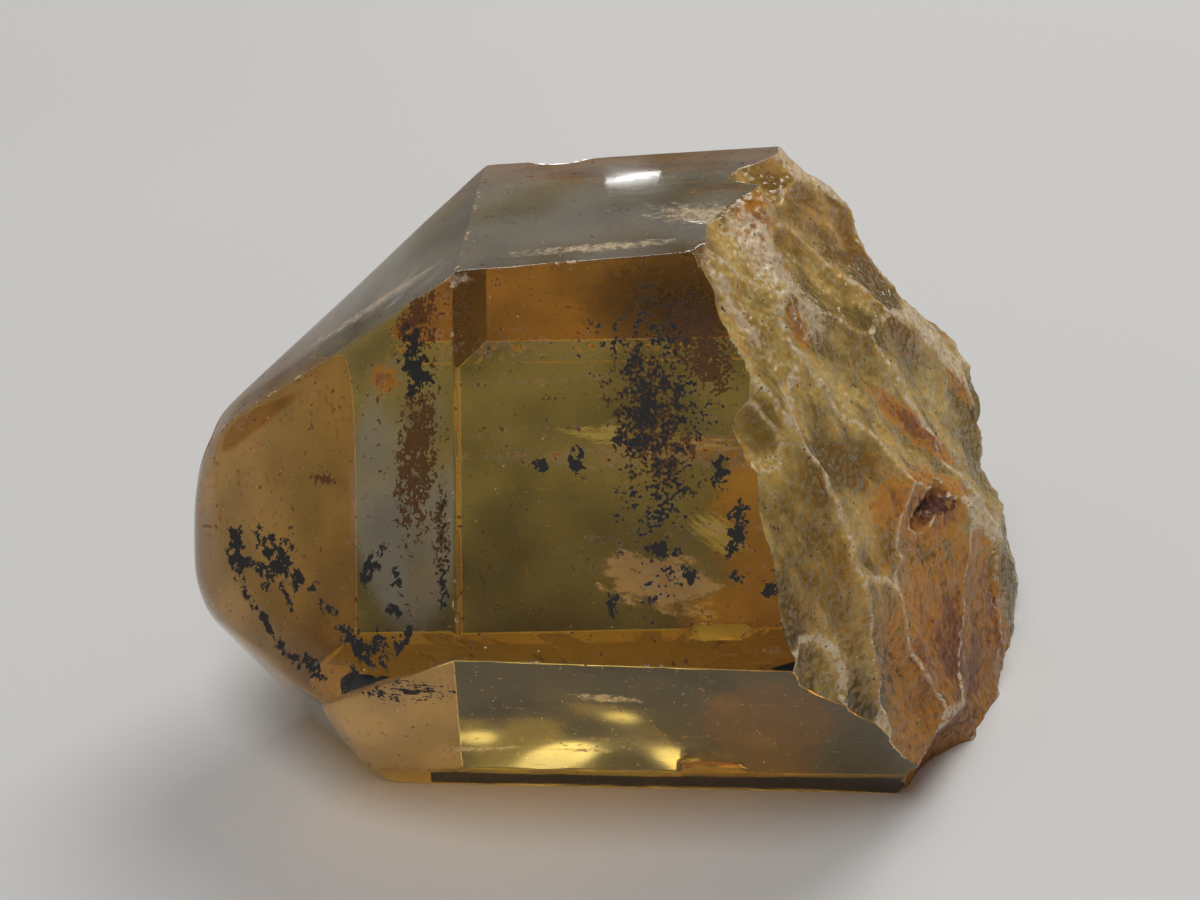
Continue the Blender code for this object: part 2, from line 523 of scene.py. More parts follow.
class StageSizes(bpy.types.PropertyGroup):
    """Floor, lights and camera."""

    floor_size: FloatProperty(
        name="Floor size",
        description="Length of each side of the floor",
        default=3.0,
        unit="LENGTH",
    )
    floor_colour: FloatVectorProperty(
        name="Floor colour",
        description="Plain pale floor",
        subtype="COLOR",
        size=3,
        min=0.0,
        max=1.0,
        default=(0.66, 0.65, 0.63),
    )
    key_power: FloatProperty(
        name="Key light",
        description="Power of the large soft light behind, in watts",
        default=3.2,
        min=0.0,
    )
    fill_power: FloatProperty(
        name="Fill light",
        description="Power of the soft front light, in watts",
        default=2.7,
        min=0.0,
    )
    low_power: FloatProperty(
        name="Low light",
        description="Power of the low strip of light far behind, in watts",
        default=0.1,
        min=0.0,
    )
    glint_power: FloatProperty(
        name="Glint light",
        description="Power of the small light that the top face mirrors, in watts",
        default=0.0009,
        min=0.0,
    )
    sky_strength: FloatProperty(
        name="Room light",
        description="Strength of the even light of the room",
        default=0.16,
        min=0.0,
    )
    view_turn: FloatProperty(
        name="Camera turn",
        description="Camera's turn around the crystal, in degrees",
        default=-2.204,
    )
    view_height: FloatProperty(
        name="Camera height",
        description="Camera's angle above the floor, in degrees",
        default=29.118,
    )
    view_distance: FloatProperty(
        name="Camera distance",
        description="From the camera to the point it looks at",
        default=0.12668,
        unit="LENGTH",
    )


def facing(around, lean):
    """Unit normals of faces from their way around the axis and lean to the tip."""
    turn, tip = np.radians(around), np.radians(lean)
    return np.stack((-np.sin(tip), -np.cos(turn) * np.cos(tip), np.sin(turn) * np.cos(tip)), -1)


def growth_planes():
    """Names, normals and distances from the station of the growth faces."""
    rows = np.array(list(FACES.values()))
    return list(FACES), facing(rows[:, 0], rows[:, 1]), rows[:, 2]


def face_axes(normal):
    """Directions along the crystal and up a face, both in the face."""
    along = np.array((1.0, 0.0, 0.0)) - normal[0] * normal
    along = along / np.linalg.norm(along)
    return along, np.cross(normal, along)


def worn_planes(normals, distances):
    """Planes that touch the rounds of the worn edges and corners.

    A round of radius R between faces with normals n and distances d is touched
    by the plane with normal s*sum(w*n) and distance s*sum(w*d) + R*(1 - s*sum(w)),
    where s makes the normal a unit one and w are the shares of the faces.
    """
    names = list(FACES)
    share = np.arange(1, WEAR_STEPS) / WEAR_STEPS
    edge_shares = np.stack((1.0 - share, share), -1)
    grid = np.array([w for w in itertools.product((1.0, 2.0, 3.0), repeat=3)])
    touching, reaching = [], []
    for *joined, radius in WORN_EDGES + WORN_CORNERS:
        weights = edge_shares if len(joined) == 2 else grid
        rows = [names.index(name) for name in joined]
        blend = weights @ normals[rows]
        scale = 1.0 / np.linalg.norm(blend, axis=1)
        reach = weights @ distances[rows]
        touching.append(blend * scale[:, None])
        reaching.append(scale * reach + radius * (1.0 - scale * weights.sum(1)))
    return np.concatenate([normals] + touching), np.concatenate([distances] + reaching)


def grain(y, z, size, seed):
    """Smooth random ground from -1 to 1.

    Random heights on a square lattice of the given size, eased between its
    points by 3t^2 - 2t^3 along each axis.
    """
    lattice = np.random.default_rng(seed).uniform(-1.0, 1.0, (64, 64))
    row, column = np.floor(y / size), np.floor(z / size)
    s, t = y / size - row, z / size - column
    s, t = s * s * (3.0 - 2.0 * s), t * t * (3.0 - 2.0 * t)
    i, j = row.astype(int) % 64, column.astype(int) % 64
    low = lattice[i, j] * (1.0 - s) + lattice[(i + 1) % 64, j] * s
    high = lattice[i, (j + 1) % 64] * (1.0 - s) + lattice[(i + 1) % 64, (j + 1) % 64] * s
    return low * (1.0 - t) + high * t


def bowls(y, z):
    """Depth of every shell and pit at y and z, how far out in it the place is, and where.

    A bowl is deep*(1 - radius^2) with radius^2 = (along/long)^2 + (across/wide)^2,
    where along and across are turned about its centre and bent a little by
    random ground.
    """
    rows = np.array(SHELLS + PITS)[:, :, None]
    centre_y, centre_z, long, wide, turn, deep = (rows[:, column] for column in range(6))
    bend_y = y + 0.5 * grain(y, z, 2.6, 11) + 0.16 * grain(y, z, 0.8, 12) - centre_y
    bend_z = z + 0.5 * grain(y, z, 2.6, 13) + 0.16 * grain(y, z, 0.8, 14) - centre_z
    angle = np.radians(turn)
    along = bend_z * np.cos(angle) + bend_y * np.sin(angle)
    across = bend_y * np.cos(angle) - bend_z * np.sin(angle)
    radius = (along / long) ** 2 + (across / wide) ** 2
    return deep * (1.0 - radius), radius, along, across


def break_reach(y, z, sizes):
    """How far the break reaches along X at y and z.

    x = reach + slope . (y, z) - dome*(y^2 + z^2) - depth, where depth is that of
    the deepest bowl, at least minus the ridge height. Ribs ring each bowl as
    the sine of its radius, strands run along it, and folded random ground in four
    sizes roughens it.
    """
    reach = BREAK_REACH + BREAK_SLOPE[0] * y + BREAK_SLOPE[1] * z - BREAK_DOME * (y * y + z * z)
    depths, radii, lengthwise, crosswise = bowls(y, z)
    deepest = depths.argmax(0)[None]
    depth = np.take_along_axis(depths, deepest, 0)[0]
    radius = np.clip(np.take_along_axis(radii, deepest, 0)[0], 0.0, 1.5)
    ribs = np.sin(14.0 * np.sqrt(radius)) * radius
    rubble = sum(
        share * (1.0 - 2.0 * np.abs(grain(y, z, size, seed)))
        for share, size, seed in ((0.5, 2.3, 1), (0.28, 1.1, 2), (0.14, 0.55, 3), (0.08, 0.28, 4))
    )
    along = np.take_along_axis(lengthwise, deepest, 0)[0] + BOWL_SHIFT * deepest[0]
    across = np.take_along_axis(crosswise, deepest, 0)[0]
    strands = grain(along * 0.3, across, 0.9, 5) + 0.5 * grain(along * 0.3, across, 0.42, 6)
    relief = sizes.ripple_height * ribs + sizes.rubble_height * rubble
    relief = relief + sizes.strand_height * strands
    return reach - np.maximum(depth, -RIDGE_HEIGHT) + relief


def ridge_field(y, z):
    """Closeness to a ridge of the break: exp(-(gap between the two deepest bowls)/FADE)."""
    depths = np.sort(np.maximum(bowls(y, z)[0], -RIDGE_HEIGHT), axis=0)
    return np.exp(-(depths[-1] - depths[-2]) / FADE)


def fibre_field(y, z):
    """Place along and across the deepest bowl, for the fibres that run along it.

    Each bowl's place along it is shifted by its number times BOWL_SHIFT, so that
    no two bowls share their fibres.
    """
    depths, _, along, across = bowls(y, z)
    deepest = depths.argmax(0)[None]
    along = np.take_along_axis(along, deepest, 0)[0] + BOWL_SHIFT * deepest[0]
    return along, np.take_along_axis(across, deepest, 0)[0]


def solve(low, high, excess):
    """Where excess(t) crosses nought between low and high, by halving the gap again and again."""
    for _ in range(HALVINGS):
        middle = 0.5 * (low + high)
        above = excess(middle) > 0.0
        low, high = np.where(above, low, middle), np.where(above, middle, high)
    return 0.5 * (low + high)


def crystal_corners(normals, distances):
    """Corners where three faces meet, and which three, for the faces and the far cap."""
    triples = np.array(list(itertools.combinations(range(len(normals)), 3)))
    systems = normals[triples]
    solvable = np.abs(np.linalg.det(systems)) > 1e-6
    triples = triples[solvable]
    points = np.linalg.solve(systems[solvable], distances[triples][..., None])[..., 0]
    inside = (points @ normals.T <= distances + 1e-6).all(1)
    return points[inside], triples[inside]


def spread(first, last, step):
    """Even points from first to last, less the last one."""
    count = max(1, math.ceil(np.linalg.norm(last - first) / step))
    share = np.arange(count)[:, None] / count
    return first + (last - first) * share


def rim_curve(normal, distance, first, last, sizes):
    """Curve in one face where it meets the break, from first to last.

    The height v in the face runs evenly between the ends, and the place h along
    the face is where distance*n + v*up + h*along meets x = break_reach(y, z).
    """
    along, up = face_axes(normal)
    count = max(2, math.ceil(1.25 * np.linalg.norm(last - first) / sizes.rim_step))
    v = (first @ up) + (last - first) @ up * np.arange(1, count) / count

    def point(h):
        return distance * normal + v[:, None] * up + h[:, None] * along

    def excess(h):
        p = point(h)
        return p[:, 0] - break_reach(p[:, 1], p[:, 2], sizes)

    h = solve(np.full(len(v), -10.0), np.full(len(v), 70.0), excess)
    return np.concatenate((first[None], point(h)))


def web(rim, middle, rings):
    """Points and faces of a web from a rim to its middle.

    Ring k holds middle + (1 - s_k)*(rim - middle), with s_k small near the rim
    and even after it; the last ring is closed by triangles to the middle.
    """
    steps = np.concatenate((RIM_RINGS, np.linspace(0.03, 1.0, rings)[:-1]))
    points = middle + (1.0 - steps)[:, None, None] * (rim - middle)
    size, loops = len(rim), len(steps)
    here = np.arange(size)
    after = (here + 1) % size
    rows = np.arange(loops - 1)[:, None] * size
    quads = np.stack((rows + here, rows + after, rows + size + after, rows + size + here), -1)
    inner = (loops - 1) * size
    fan = np.stack((inner + here, inner + after, np.full(size, loops * size)), -1)
    return np.concatenate((points.reshape(-1, 3), middle[None])), quads.reshape(-1, 4), fan


def worn_surface(points, sizes):
    """Points pulled towards the heart of the crystal to where its rubbed faces are.

    Along each ray from the heart the faces lie at r_i = (d_i - n_i . heart)/(n_i . ray).
    Their soft least, m - w*ln(sum(exp(-(r_i - m)/w))) with m the least of them and w
    the softness, rounds the edges. A chip is a squashed ball: a point between where
    the ray enters and leaves it moves to where it enters.
    """
    _, normals, distances = growth_planes()
    normals, distances = worn_planes(normals, distances)
    ray = points - HEART
    reach = np.linalg.norm(ray, axis=1)
    ray = ray / reach[:, None]
    slant = ray @ normals.T
    gap = distances - normals @ HEART
    hits = np.where(slant > 1e-4, gap / np.maximum(slant, 1e-4), 1e6)
    least = hits.min(1)
    rub = 1.0 + 0.9 * grain(points[:, 0] + points[:, 1], points[:, 2] - points[:, 1], 0.9, 21)
    tip = np.clip((-points[:, 0] - 2.0) / 4.0, 0.0, 1.0)
    softness = 0.004 + sizes.edge_softness * rub * (1.0 - tip) + sizes.tip_softness * tip
    soft = least - softness * np.log(np.exp(-(hits - least[:, None]) / softness[:, None]).sum(1))
    reach = np.minimum(reach, soft)
    for centre, half_sizes, around in CHIPS:
        turn = math.radians(90.0 - around)
        across = np.array((0.0, math.cos(turn), math.sin(turn)))
        out = np.array((0.0, -math.sin(turn), math.cos(turn)))
        axes = np.stack((np.array((1.0, 0.0, 0.0)), across, out)) / np.array(half_sizes)[:, None]
        start, step = axes @ (HEART - np.array(centre)), ray @ axes.T
        a, b, c = (step * step).sum(1), step @ start, start @ start - 1.0
        root = b * b - a * c
        enter = (-b - np.sqrt(np.maximum(root, 0.0))) / a
        leave = (-b + np.sqrt(np.maximum(root, 0.0))) / a
        reach = np.where((root > 0.0) & (reach > enter) & (reach < leave), enter, reach)
    return HEART + ray * reach[:, None]


def edge_field(points, broken, sizes):
    """Closeness to an edge: exp(-gap/FADE), gap being from the face a point is on to the next.

    The faces are met along the ray from the heart, and the break along X.
    """
    _, normals, distances = growth_planes()
    ray = points - HEART
    reach = np.linalg.norm(ray, axis=1)
    ray = ray / reach[:, None]
    slant = ray @ normals.T
    hits = np.where(slant > 1e-4, (distances - normals @ HEART) / np.maximum(slant, 1e-4), 1e6)
    ahead = break_reach(points[:, 1], points[:, 2], sizes) - points[:, 0]
    to_break = reach + np.where(broken > 0.5, 0.0, np.abs(ahead))
    nearest = np.sort(np.column_stack((hits, to_break)), axis=1)
    return np.exp(-(nearest[:, 1] - nearest[:, 0]) / FADE)


def mark_field(points, broken, marks):
    """Largest of 1 - (along/long)^2 - (across/wide)^2 over a kind of mark, on its face only."""
    names, normals, distances = growth_planes()
    field = np.full(len(points), -1.0)
    for name, spots in marks.items():
        if name == "break":
            u, v, off = points[:, 2], points[:, 1], 1.0 - broken
        else:
            normal, distance = normals[names.index(name)], distances[names.index(name)]
            along, up = face_axes(normal)
            u, v, off = points @ along, points @ up, np.abs(points @ normal - distance)
        for centre_u, centre_v, long, wide, turn in spots:
            angle = math.radians(turn)
            a = (u - centre_u) * math.cos(angle) + (v - centre_v) * math.sin(angle)
            b = (v - centre_v) * math.cos(angle) - (u - centre_u) * math.sin(angle)
            spot = 1.0 - (a / long) ** 2 - (b / wide) ** 2 - (off / ON_FACE) ** 2
            field = np.maximum(field, spot)
    return field


def crystal_mesh(sizes):
    """Whole crystal: a web for each growth face and one for the break, joined at their rims."""
    names, normals, distances = growth_planes()
    cap = np.vstack((normals, (1.0, 0.0, 0.0)))
    corners, triples = crystal_corners(cap, np.append(distances, FAR_CAP))
    far = len(names)
    on_cap = (triples == far).any(1)
    ends = corners.copy()
    for index in np.flatnonzero(on_cap):
        first, second = [face for face in triples[index] if face != far]
        back = np.cross(normals[first], normals[second])
        back = back / back[0]

        def excess(t):
            p = corners[index] - t[:, None] * back
            return break_reach(p[:, 1], p[:, 2], sizes) - p[:, 0]

        t = solve(np.zeros(1), np.full(1, 70.0), excess)
        ends[index] = corners[index] - t[0] * back
    patches, rims = [], []
    for face, name in enumerate(names):
        along, up = face_axes(normals[face])
        members = np.flatnonzero((triples == face).any(1))
        offset = corners[members] - corners[members].mean(0)
        order = members[np.argsort(np.arctan2(offset @ up, offset @ along))]
        loop = []
        for here, after in zip(order, np.roll(order, -1)):
            if on_cap[here] and on_cap[after]:
                curve = rim_curve(normals[face], distances[face], ends[here], ends[after], sizes)
                loop.append(curve)
                rims.append(curve)
            elif here < after:
                loop.append(spread(ends[here], ends[after], sizes.rim_step))
            else:
                back = spread(ends[after], ends[here], sizes.rim_step)
                loop.append(np.concatenate((ends[here][None], back[:0:-1])))
        rim = np.concatenate(loop)
        patches.append(web(rim, ends[order].mean(0), RINGS.get(name, PLAIN_RINGS)))
    rim = np.concatenate(rims)
    middle = np.array((0.0, *BREAK_CENTRE))
    rim = rim[np.argsort(np.arctan2(rim[:, 2] - middle[2], rim[:, 1] - middle[1]))]
    points, quads, fan = web(rim, middle, BREAK_RINGS)
    points[len(rim):, 0] = break_reach(points[len(rim):, 1], points[len(rim):, 2], sizes)
    patches.append((points, quads, fan))
    return patches


def join(patches):
    """One set of points and faces from patches that share their rims."""
    counts = np.cumsum([0] + [len(points) for points, _, _ in patches])
    points = np.concatenate([points for points, _, _ in patches])
    quads = np.concatenate([quads + start for (_, quads, _), start in zip(patches, counts)])
    fans = np.concatenate([fan + start for (_, _, fan), start in zip(patches, counts)])
    broken = np.zeros(len(points))
    broken[counts[-2]:] = 1.0
    _, first, kept = np.unique(np.round(points, 4), axis=0, return_index=True, return_inverse=True)
    kept = kept.reshape(-1)
    return points[first], kept[quads], kept[fans], broken[first]


def make_piece(name, points, quads, fans, fields, material):
    """A finished piece in metres, from points in millimetres around the station."""
    mesh = bpy.data.meshes.new(name)
    faces = quads.tolist() + fans.tolist()
    mesh.from_pydata(((points + STATION) * MM).tolist(), [], faces)
    mesh.validate()
    for field, values in fields.items():
        attribute = mesh.attributes.new(field, "FLOAT", "POINT")
        attribute.data.foreach_set("value", values.astype(np.float32))
    mesh.shade_smooth()
    mesh.materials.append(material)
    piece = bpy.data.objects.new(name, mesh)
    bpy.context.scene.collection.objects.link(piece)
    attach(piece, "root")
    return piece


class Nodes:
    """Adds the nodes of one material and joins them."""

    def __init__(self, name):
        self.material = bpy.data.materials.new(name)
        self.material.use_nodes = True
        self.tree = self.material.node_tree
        self.shader = self.tree.nodes["Principled BSDF"]
        self.output = self.tree.nodes["Material Output"]
        self.place = self.add("ShaderNodeTexCoord").outputs["Object"]

    def add(self, kind, **inputs):
        """A node, with its inputs given by name as a value or as a socket."""
        node = self.tree.nodes.new(kind)
        for name, value in inputs.items():
            self.set(node, name.replace("_", " "), value)
        return node

    def set(self, node, name, value):
        """Give one input a value or a link."""
        socket = node.inputs[name]
        if isinstance(value, bpy.types.NodeSocket):
            self.tree.links.new(value, socket)
        else:
            socket.default_value = value

    def field(self, name):
        """A number kept at the points of the mesh."""
        node = self.add("ShaderNodeAttribute")
        node.attribute_name = name
        return node.outputs["Fac"]

    def math(self, operation, first, second=0.0, third=0.0):
        """One sum."""
        node = self.tree.nodes.new("ShaderNodeMath")
        node.operation = operation
        for index, value in enumerate((first, second, third)):
            if isinstance(value, bpy.types.NodeSocket):
                self.tree.links.new(value, node.inputs[index])
            else:
                node.inputs[index].default_value = value
        return node.outputs[0]

    def noise(self, scale, detail=2.0, roughness=0.5):
        """Noise of the given number of grains to the metre, near 0.5."""
        node = self.add("ShaderNodeTexNoise", Scale=scale, Detail=detail, Roughness=roughness)
        self.tree.links.new(self.place, node.inputs["Vector"])
        return node.outputs["Fac"]

    def streaks(self, along, across, squeeze, scale, detail, roughness):
        """Noise drawn out along one of two lengths kept at the points of the mesh."""
        along = self.math("MULTIPLY", self.field(along), squeeze)
        place = self.add("ShaderNodeCombineXYZ", X=along, Y=self.field(across))
        node = self.add("ShaderNodeTexNoise", Scale=scale, Detail=detail, Roughness=roughness)
        self.tree.links.new(place.outputs["Vector"], node.inputs["Vector"])
        return node.outputs["Fac"]

    def steepen(self, share):
        """Three times the share, up to 1."""
        node = self.tree.nodes.new("ShaderNodeMath")
        node.operation = "MULTIPLY"
        node.use_clamp = True
        self.tree.links.new(share, node.inputs[0])
        node.inputs[1].default_value = 3.0
        return node.outputs[0]

    def ramp(self, value, low, high):
        """0 up to low, 1 from high, eased between them."""
        node = self.tree.nodes.new("ShaderNodeMapRange")
        node.interpolation_type = "SMOOTHSTEP"
        self.set(node, "Value", value)
        self.set(node, "From Min", low)
        self.set(node, "From Max", high)
        return node.outputs["Result"]

    def blend(self, share, first, second):
        """Colour or number between two by a share."""
        node = self.tree.nodes.new("ShaderNodeMix")
        colour = not isinstance(first, (int, float)) and not (
            isinstance(first, bpy.types.NodeSocket) and first.type == "VALUE"
        )
        node.data_type = "RGBA" if colour else "FLOAT"
        picks = (0, 6, 7) if colour else (0, 2, 3)
        for index, value in zip(picks, (share, first, second)):
            if isinstance(value, bpy.types.NodeSocket):
                self.tree.links.new(value, node.inputs[index])
            else:
                node.inputs[index].default_value = value
        return node.outputs[2 if colour else 0]


def solid(colour):
    """A colour with full opacity."""
    return (*colour, 1.0)


def crystal_material(colours):
    """Clear yellow quartz, smoky in part through a painted shade coat, with its marks, painted glow,
    sheen and edge glints, and a milky, stained break.

    Each layer lies over the ones before it: its share, colour, clearness and
    roughness. Its colour is full where its share is a third.
    """
    make = Nodes("citrine")
    rag = make.noise(1900.0, 3.0, 0.7)
    finer = make.noise(5600.0, 0.0, 0.6)
    broad = make.noise(320.0, 3.0, 0.64)
    cloud = make.noise(180.0, 1.0, 0.6)
    strand = make.streaks("fibre_along", "fibre_across", 0.28, 0.75, 3.0, 0.7)
    tear = make.math("MULTIPLY_ADD", rag, 8.0, -4.0)
    wander = make.math("MULTIPLY", tear, 0.5)
    speckle = make.math("MULTIPLY_ADD", finer, 5.0, -2.5)
    uneven = make.ramp(cloud, 0.36, 0.64)

    def both(first, second, weight=1.0):
        """First plus a share of second."""
        return make.math("MULTIPLY_ADD", second, weight, first)

    def patchy(colour, spread):
        """A colour that runs from darker to lighter by the spread with the clouds."""
        darker = [part * (1.0 - spread) for part in colour]
        lighter = [min(1.0, part * (1.0 + spread)) for part in colour]
        return make.blend(uneven, solid(darker), solid(lighter))

    broken, ridge, edge = make.field("broken"), make.field("ridge"), make.field("edge")
    oxide = make.ramp(both(make.field("oxide"), tear), 0.15, 0.4)
    oxide = make.math("MULTIPLY", oxide, make.ramp(make.field("oxide"), -1.0, -0.4))
    pepper = both(both(make.field("pepper"), tear, 0.9), speckle, 0.7)
    pepper = both(pepper, make.math("SUBTRACT", broad, 0.5), 3.0)
    near = make.ramp(make.field("pepper"), -0.99, -0.6)
    pepper = make.math("MULTIPLY", make.ramp(pepper, 0.85, 1.6), near)
    film = both(both(make.field("film"), tear, 0.8), speckle, 0.5)
    film = make.math("MULTIPLY", make.ramp(film, 0.0, 0.8), 0.8)
    rust = make.ramp(both(make.field("rust"), wander, 0.6), -0.1, 0.7)
    haze = make.ramp(both(make.field("haze"), wander, 0.6), -0.1, 0.9)
    dark = make.ramp(both(make.field("dark"), tear, 0.7), -0.1, 0.6)
    frost = make.ramp(both(make.field("frost"), wander), 0.0, 1.4)
    patch = both(both(make.math("MULTIPLY", broad, 0.3), cloud, 0.4), strand, 0.3)
    patch = make.ramp(both(patch, ridge, 0.12), 0.42, 0.60)
    milk = make.math("MULTIPLY", broken, make.math("MULTIPLY_ADD", patch, 0.50, 0.44))
    pale = [min(1.0, part * gain) for part, gain in zip(colours.milk, (1.25, 1.45, 2.6))]
    cream = make.blend(make.ramp(rag, 0.44, 0.62), solid(colours.milk), solid(pale))
    cream = make.blend(patch, solid(colours.olive), cream)
    crest = make.math("MULTIPLY", ridge, make.ramp(rag, 0.34, 0.56))
    crest = make.math("MULTIPLY", make.math("MULTIPLY", broken, 0.8), make.ramp(crest, 0.2, 0.8))
    # Nicks along the edges: partly chipped quartz, partly painted glints of the bright edges.
    nicks_and_glints = make.math("MULTIPLY", make.ramp(rag, 0.5, 0.62), make.ramp(broad, 0.42, 0.6))
    nicks_and_glints = make.ramp(make.math("MULTIPLY", edge, nicks_and_glints), 0.2, 0.6)
    # Painted shade: where the dark coat lies on the lower back face.
    smoke = make.ramp(make.field("smoke"), 0.0, 0.5)
    # Partly iron stain, partly painted glow: the bright patch over the bottom face.
    stain = make.math("MULTIPLY", make.ramp(make.field("stain"), 0.0, 0.5), make.ramp(broad, 0.0, 0.5))
    amber = make.ramp(both(make.field("amber"), wander, 0.25), -0.3, 1.2)
    ochre = both(both(make.field("ochre"), tear, 0.35), make.math("MULTIPLY_ADD", strand, 4.0, -2.0))
    burnt = make.blend(make.ramp(ochre, 0.1, 1.3), solid(colours.ochre), solid(BURNT_OCHRE))
    ochre = make.ramp(ochre, -0.6, 0.7)
    # Painted sheen: where the pale grey layer lies on the top faces.
    bloom = make.math("MULTIPLY", make.ramp(make.field("bloom"), 0.0, 0.5), make.ramp(cloud, 0.2, 0.9))
    dust = make.math("MULTIPLY", make.ramp(finer, 0.82, 0.86), make.ramp(broad, 0.45, 0.6))
    # Pale share: frost, ridge crests, dust, and edge nicks with painted glints.
    pale_share = make.math("MAXIMUM", make.math("MULTIPLY", frost, 0.7), crest)
    pale_share = make.math("MAXIMUM", pale_share, make.math("MULTIPLY", nicks_and_glints, 0.8))
    pale_share = make.math("MAXIMUM", pale_share, dust)

    layers = (
        # Painted shade coat on the lower back face.
        (make.math("MULTIPLY", smoke, 0.8), patchy(colours.smoke, 0.45), 0.85, 0.12),
        (haze, patchy(colours.haze, 0.22), 0.85, 0.85),
        # Iron stain with painted glow on the bottom face.
        (stain, colours.stain, 0.55, 0.4),
        (milk, cream, 0.45, 0.42),
        (make.math("MULTIPLY", rust, 0.9), patchy(colours.rust, 0.25), 0.80, 0.85),
        (make.math("MULTIPLY", ochre, 0.85), burnt, 0.4, 0.45),
        (make.math("MULTIPLY", amber, 0.8), colours.amber, 0.92, 0.1),
        # Painted sheen on the top faces.
        (make.math("MULTIPLY", bloom, 0.3), PAINTED_SHEEN_GREY, 0.1, 0.15),
        # Frost, crests, dust, and edge nicks with painted glints.
        (pale_share, colours.frost, 0.3, 0.45),
        (dark, PIT_RED, 0.2, 0.8),
        (film, colours.film, 0.6, 0.4),
        (make.math("MAXIMUM", pepper, oxide), colours.oxide, 0.0, 0.75),
    )
    colour, clear, rough = solid(BARE_FACE), 1.0, 0.012
    for share, tint, clearness, roughness in layers:
        steep = make.steepen(share)
        tint = tint if isinstance(tint, bpy.types.NodeSocket) else solid(tint)
        colour = make.blend(steep, colour, tint)
        clear = make.blend(share, clear, clearness)
        rough = make.blend(share, rough, roughness)
    make.set(make.shader, "Base Color", colour)
    make.set(make.shader, "Transmission Weight", clear)
    make.set(make.shader, "Roughness", rough)
    make.set(make.shader, "IOR", QUARTZ_IOR)

    swell = make.math("MULTIPLY", smoke, make.noise(210.0, 0.0, 0.4))
    swell = make.add("ShaderNodeBump", Strength=1.0, Distance=0.0002, Height=swell)
    bumps = make.math("MULTIPLY", broken, make.noise(2600.0, 0.0, 0.7))
    bump = make.add("ShaderNodeBump", Strength=0.7, Distance=0.0003, Height=bumps)
    make.set(bump, "Normal", swell.outputs["Normal"])
    make.set(make.shader, "Normal", bump.outputs["Normal"])

    depth = make.add("ShaderNodeVolumeAbsorption", Color=solid(colours.body), Density=colours.depth)
    make.tree.links.new(depth.outputs["Volume"], make.output.inputs["Volume"])
    return make.material


def veil_material(name, colour, drawn, cover, sparse):
    """Thin cloud or crack inside the crystal: see-through but for its drawn-out flecks, whose golden
    colour on a crack is a painted glint.

    Flecks are drawn out by the given squeeze, cover at most the given share, and
    show where their noise is over sparse.
    """
    make = Nodes(name)
    flecks = make.streaks("fibre_along", "fibre_across", drawn, 1.1, 6.0, 0.7)
    flecks = make.math("ADD", flecks, make.math("MULTIPLY", make.field("inner"), 0.32))
    make.set(make.shader, "Alpha", make.math("MULTIPLY", make.ramp(flecks, sparse, sparse + 0.14), cover))
    # Paler where the flecks are thick; on a crack this brightens the painted glint.
    pale = [min(1.0, 0.2 + 0.8 * part) for part in colour]
    tint = make.blend(make.ramp(flecks, 0.7, 1.0), solid(colour), solid(pale))
    make.set(make.shader, "Base Color", tint)
    make.set(make.shader, "Roughness", 0.4)
    return make.material


def veil_sheet(centre_u, centre_v, deep, long, wide, turn, tilt, sag):
    """Points, quads and fields of one veil.

    With s and t from -1 to 1, the sheet is centre + long*s*a + wide*t*b +
    (sag*(s^2 + t^2) + ground)*c, where a, b and c are the face's own axes turned
    in the face and tilted out of it.
    """
    _, normals, distances = growth_planes()
    normal, distance = normals[0], distances[0]
    along, up = face_axes(normal)
    angle, lean = math.radians(turn), math.radians(tilt)
    a = along * math.cos(angle) + up * math.sin(angle)
    across = up * math.cos(angle) - along * math.sin(angle)
    b = across * math.cos(lean) + normal * math.sin(lean)
    c = np.cross(a, b)
    s, t = (np.linspace(-1.0, 1.0, steps) for steps in VEIL_STEPS)
    s, t = np.meshgrid(s, t, indexing="ij")
    s, t = s.ravel(), t.ravel()
    centre = (distance - deep) * normal + centre_u * along + centre_v * up
    lift = sag * (s * s + t * t) + 0.25 * grain(s * long, t * wide, 1.1, int(10 * centre_u))
    points = centre + np.outer(long * s, a) + np.outer(wide * t, b) + np.outer(lift, c)
    grid = np.arange(s.size).reshape(VEIL_STEPS)
    quads = np.stack((grid[:-1, :-1], grid[1:, :-1], grid[1:, 1:], grid[:-1, 1:]), -1)
    fields = {
        "inner": np.clip(1.0 - s * s - t * t, -1.0, 1.0),
        "fibre_along": s * long + 10.0 * centre_u,
        "fibre_across": t * wide,
    }
    return points, quads.reshape(-1, 4), fields


class CITRINE_OT_crystal(bpy.types.Operator):
    """Build the crystal and its marks"""

    bl_idname = "citrine.crystal"
    bl_label = "Crystal"

    def execute(self, context):
        sizes = context.scene.citrine_sizes
        points, quads, fans, broken = join(crystal_mesh(sizes))
        fibre_along, fibre_across = fibre_field(points[:, 1], points[:, 2])
        fields = {
            "broken": broken,
            "fibre_along": fibre_along,
            "fibre_across": fibre_across,
            "ridge": ridge_field(points[:, 1], points[:, 2]),
            "edge": edge_field(points, broken, sizes),
        }
        for kind, marks in MARKS.items():
            fields[kind] = mark_field(points, broken, marks)
        material = crystal_material(context.scene.citrine_colours)
        piece = make_piece("fine_crystal", worn_surface(points, sizes), quads, fans, fields, material)
        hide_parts("crystal")
        return {"FINISHED"}


